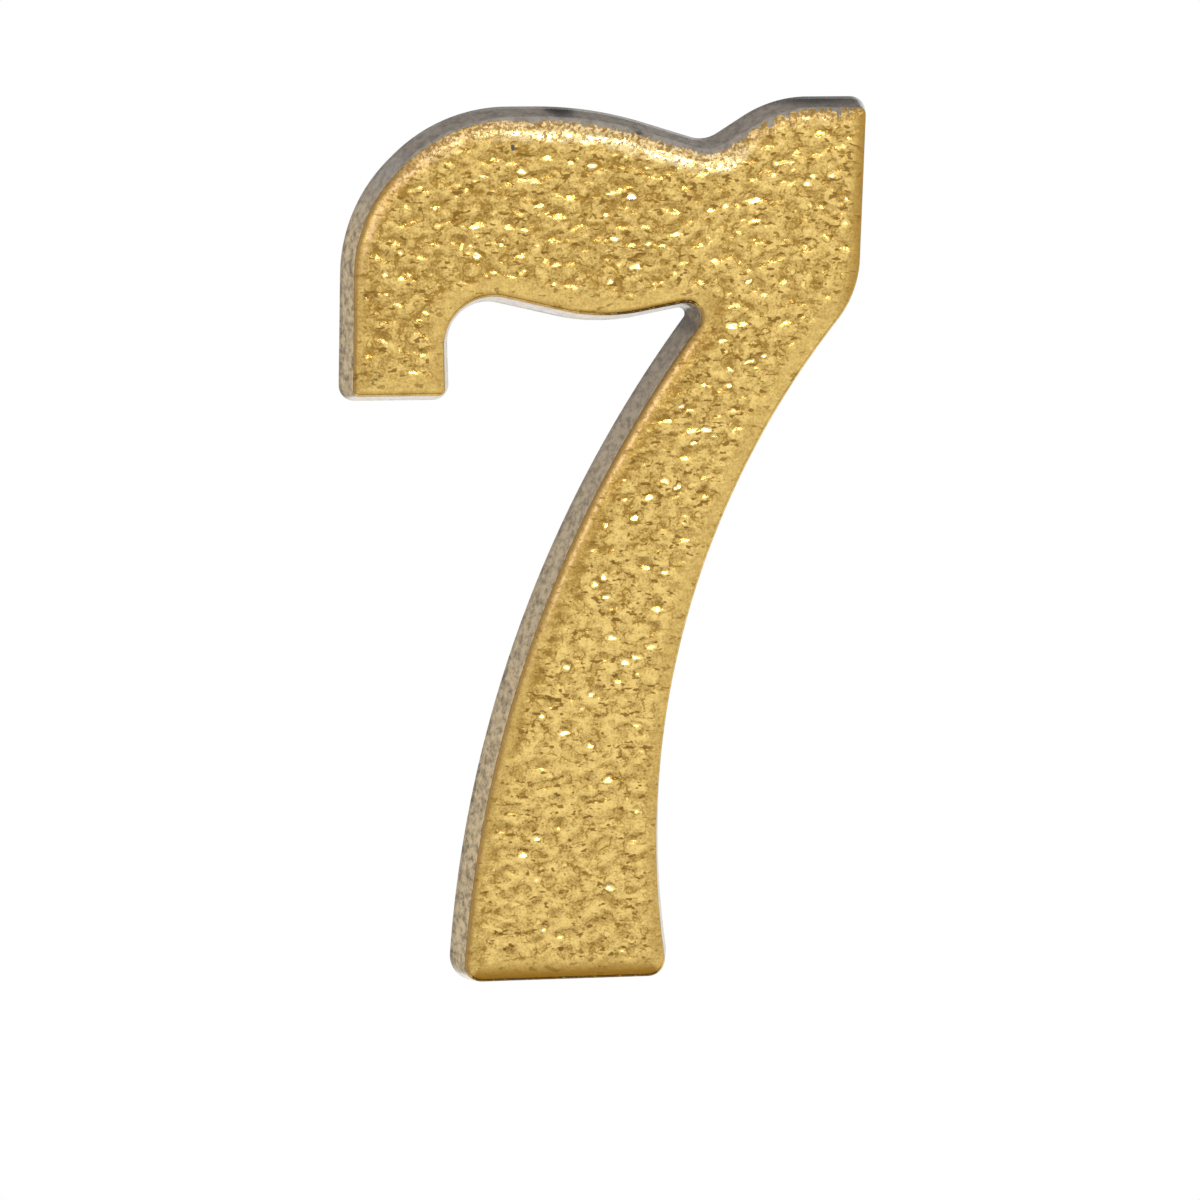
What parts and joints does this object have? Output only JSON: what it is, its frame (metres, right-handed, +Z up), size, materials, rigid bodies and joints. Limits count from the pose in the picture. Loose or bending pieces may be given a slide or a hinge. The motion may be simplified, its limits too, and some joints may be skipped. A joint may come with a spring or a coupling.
{
  "type": "door numeral",
  "caption": "Door numeral seven, moulded plastic with a gold hammered face, wavy top bar, bowed stem and drafted grey sides; its flat back is stuck to a door or wall.",
  "frame": {"origin": "on the flat back face, at the middle of the outline's width and height, which lies inside the stem", "axes": "upright as on a door: +Z up along the height, +X to the right as read, the face to the front along -Y, the back outward along +Y"},
  "size_m": [0.0448, 0.005, 0.075],
  "materials": {
    "gold_foil": "gold foil over a hammered face; the drafted sides and the back are bare warm grey plastic"
  },
  "bodies": {
    "root": {"numeral": "gold_foil"}
  },
  "joints": []
}
